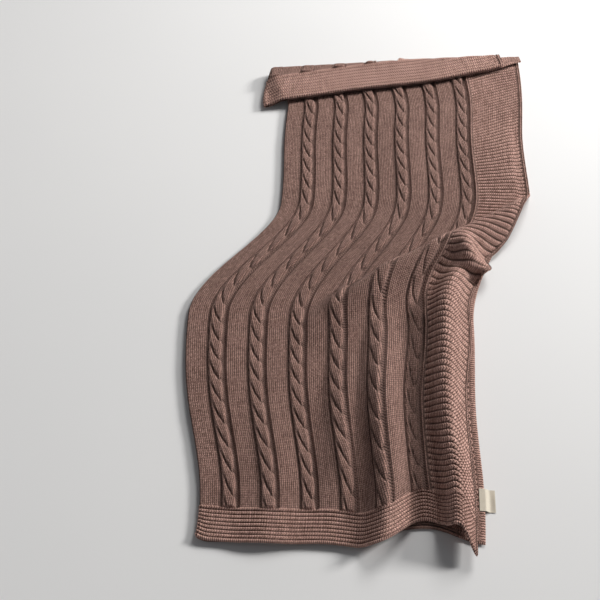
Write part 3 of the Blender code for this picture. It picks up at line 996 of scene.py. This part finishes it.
def top_strips(knit):
    """The top layer: three strips of two cables each, and the side border."""
    made = []
    for i, (start, end) in enumerate(zip([ROLL_FROM] + SEAMS[:2], SEAMS)):
        across = knit_columns(start, end, FINE, COARSE)
        if start < 0.0:
            across = over_roll(11, across[across > ROLL_HALF + 0.002])
        along = steps(HEM_TOP, cover_end(max(start, 0.0)), FINE_ROW)
        made.append(knit_sheet(f"cable_strip_{i + 1}", *np.meshgrid(across, along), knit))
    edge = TOP_WIDTH - SLIP_EDGE - 0.003
    across = np.concatenate([steps(SEAMS[2], edge, 0.0060)[:-1], steps(edge, TOP_WIDTH, 0.0011)])
    made.append(knit_sheet("side_border", *up_to_turn(across, RIDGE_ROW), knit, thin=(9, 4)))
    return made


def hem_band(knit):
    """The bottom border of the top layer, with the chain along its edge."""
    inner = over_roll(11, steps(0.008, SEAMS[2], 0.0034))
    band = knit_sheet("hem_border", *np.meshgrid(inner, steps(CHAIN, HEM_TOP, 0.00095)), knit)
    chained = over_roll(15, steps(0.007, SEAMS[2], 0.0010))
    chain = knit_sheet("hem_chain", *np.meshgrid(chained, steps(0.0, CHAIN, 0.0007)), knit, thin=(20, 2))
    return band, chain


def under_layer(knit):
    """The under layer: a plain sheet on the floor, and its side border, which shows past the top layer."""
    across = steps(UNDER_SEAM, ROLL_FROM, 0.020)
    plain = knit_sheet("under_layer", *up_to_turn(across, HIDDEN_ROW), knit, thin=(4, 1))
    edge = -UNDER_WIDTH + 0.015
    across = np.concatenate([steps(-UNDER_WIDTH, edge, 0.0011)[:-1], steps(edge, UNDER_SEAM, 0.0075)])
    side = knit_sheet("under_border", *up_to_turn(across, UNDER_ROW), knit, fine="back", thin=(9, 3))
    return plain, side


def flap(knit):
    """The turned-down end: the under layer's face outside, and the top layer inside it."""
    across = knit_columns(-UNDER_WIDTH, FLAP_SEAM, 0.0016, 0.0032)
    across = across[across < -ROLL_HALF - 0.001]
    across = np.concatenate([across, np.linspace(-ROLL_HALF, ROLL_HALF, 13), [0.013, FLAP_SEAM]])
    start = turn_place(across) - UNDER_TURN
    outer = knit_sheet("flap_outer", *turned_rows(across, start, CLOTH_LENGTH, 16, 0.00125), knit)
    edge = TOP_WIDTH - SLIP_EDGE
    across = np.concatenate([steps(FLAP_SEAM, edge, 0.0055)[:-1], steps(edge, TOP_WIDTH, 0.0015)])
    start = np.minimum(turn_place(across) - UNDER_TURN, CLOTH_LENGTH)
    inner = knit_sheet("flap_inner", *turned_rows(across, start, CLOTH_LENGTH, 12, 0.0022), knit)
    return outer, inner


def cut_size(start, end, flap=False):
    """Flat size of a sheet that ends, or as a flap begins, along the slanting turn: its box and area."""
    lengths = np.minimum(turn_place(np.linspace(start, end, 200)) - UNDER_TURN, CLOTH_LENGTH)
    if flap:
        lengths = CLOTH_LENGTH - lengths
    return {"flat": (end - start, float(lengths.max())), "area": (end - start) * float(lengths.mean())}


def build_cloth():
    knit = knit_material()
    strips = top_strips(knit)
    band, chain = hem_band(knit)
    under, under_side = under_layer(knit)
    outer, inner = flap(knit)
    for piece, a, b in zip(strips, [ROLL_FROM] + SEAMS, SEAMS):
        cover_end(max(a, 0.0)) - HEM_TOP
    cut_size(SEAMS[2], TOP_WIDTH)
    cut_size(UNDER_SEAM, ROLL_FROM)
    cut_size(-UNDER_WIDTH, UNDER_SEAM)
    cut_size(-UNDER_WIDTH, FLAP_SEAM, flap=True)
    cut_size(FLAP_SEAM, TOP_WIDTH, flap=True)
    return [*strips, band, chain, under, under_side, outer, inner]


def ribbon_label():
    """The bare label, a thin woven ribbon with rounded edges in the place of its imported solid."""
    low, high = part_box("label")
    thick = 0.0007
    out, along, rise = high[0] - low[0], high[1] - low[1], high[2] - low[2] - thick
    s, t = np.meshgrid(np.linspace(0.0, 1.0, 40), np.linspace(0.0, 1.0, 34))
    drop = smooth((s - 0.34) / 0.36)
    curl = 0.0016 * smooth((s - 0.72) / 0.28) * np.sin(math.pi * t * 0.9 + 0.3)
    z = low[2] + rise * (1.0 - drop) + 0.00005 + curl
    x = low[0] + 0.0002 + s * (out - 0.0006)
    y = low[1] + 0.0002 + t * (along - 0.0004)
    top = np.stack([x, y, z + thick * 0.98], axis=-1)
    bottom = np.stack([x, y, z], axis=-1)
    rows, columns = s.shape
    index, up = grid_quads(rows, columns)
    down = up[:, ::-1] + rows * columns
    rim = rim_places(rows, columns)
    walls = [[index[a] + rows * columns, index[b] + rows * columns, index[b], index[a]]
             for a, b in zip(rim, rim[1:] + rim[:1])]
    points = np.concatenate([top.reshape(-1, 3), bottom.reshape(-1, 3)])
    mesh = bpy.data.meshes.new("ribbon_label")
    mesh.from_pydata(points.tolist(), [], [list(map(int, f)) for f in [*up, *down, *walls]])
    mesh.shade_smooth()
    mesh.set_sharp_from_angle(angle=math.radians(45))
    piece = bpy.data.objects.new("ribbon_label", mesh)
    bpy.context.scene.collection.objects.link(piece)
    mesh.materials.append(label_material())
    return piece


# ------------------------------ floor, light and camera
CAMERA_AZIMUTH, CAMERA_ELEVATION, CAMERA_DISTANCE = 3.0, 50.0, 3.2
CAMERA_AIM = Vector((-0.165, -0.144, 0.02))
LENS, SENSOR = 76.5, 36.0
FLOOR_SIZE, FLOOR_Z = 60.0, -0.0004
WARM_WHITE, WARMER_WHITE, SKY_WHITE = (1.0, 0.99, 0.975), (1.0, 0.985, 0.965), (0.94, 0.96, 1.0, 1.0)


def placed_thing(name, data, azimuth, elevation, distance=0.0, aim=Vector((0.0, 0.0, 0.0))):
    """A lamp or camera at a distance from its aim in a direction, looking at it."""
    thing = bpy.data.objects.new(name, data)
    a, e = math.radians(azimuth), math.radians(elevation)
    back = Vector((math.sin(a) * math.cos(e), -math.cos(a) * math.cos(e), math.sin(e)))
    thing.location = aim + back * distance
    thing.rotation_euler = back.to_track_quat("Z", "Y").to_euler()
    bpy.context.scene.collection.objects.link(thing)
    return thing


def stage():
    bpy.ops.mesh.primitive_plane_add(size=FLOOR_SIZE, location=(0.0, 0.0, FLOOR_Z))
    floor = bpy.context.object
    floor.name = "floor"
    floor.data.materials.append(floor_material())


def area_light(name, azimuth, elevation, distance, size, power, colour=(1.0, 1.0, 1.0)):
    data = bpy.data.lights.new(name, "AREA")
    data.shape, data.size, data.energy, data.color = "SQUARE", size, power, colour
    placed_thing(name, data, azimuth, elevation, distance)


def lights():
    """A low key from the right, which draws out the relief, and a softer light from the top end."""
    sun = bpy.data.lights.new("key_light", "SUN")
    sun.energy, sun.angle, sun.color = 3.2, math.radians(12.0), WARMER_WHITE
    placed_thing("key_light", sun, azimuth=116.0, elevation=23.0)
    area_light("fill_light", azimuth=-60.0, elevation=50.0, distance=4.0, size=3.0, power=1.5)
    area_light("top_light", azimuth=150.0, elevation=39.0, distance=3.6, size=1.5, power=90.0,
               colour=WARM_WHITE)


def pale_room():
    """A world that is bright near the horizon, behind the object in a low view, and dim overhead."""
    world = bpy.data.worlds.new("pale_room")
    world.use_nodes = True
    tree = world.node_tree
    background = tree.nodes["Background"]
    split = tree.nodes.new("ShaderNodeSeparateXYZ")
    tree.links.new(tree.nodes.new("ShaderNodeTexCoord").outputs["Generated"], split.inputs[0])
    band = tree.nodes.new("ShaderNodeMapRange")
    for socket, number in zip(band.inputs[1:5], (0.12, 0.30, 0.80, 0.10)):
        socket.default_value = number
    tree.links.new(split.outputs["Z"], band.inputs[0])
    background.inputs[0].default_value = SKY_WHITE
    tree.links.new(band.outputs[0], background.inputs[1])
    bpy.context.scene.world = world
    bpy.context.scene.view_settings.view_transform = "Standard"


def camera():
    data = bpy.data.cameras.new("camera")
    data.lens, data.sensor_width = LENS, SENSOR
    shot = placed_thing("camera", data, CAMERA_AZIMUTH, CAMERA_ELEVATION, CAMERA_DISTANCE, CAMERA_AIM)
    bpy.context.scene.camera = shot


camera()
lights()
pale_room()
stage()
cloth = build_cloth()
for made in cloth:
    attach(made, "root")
    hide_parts("bedspread")
tab = ribbon_label()
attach(tab, "root")
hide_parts("label")
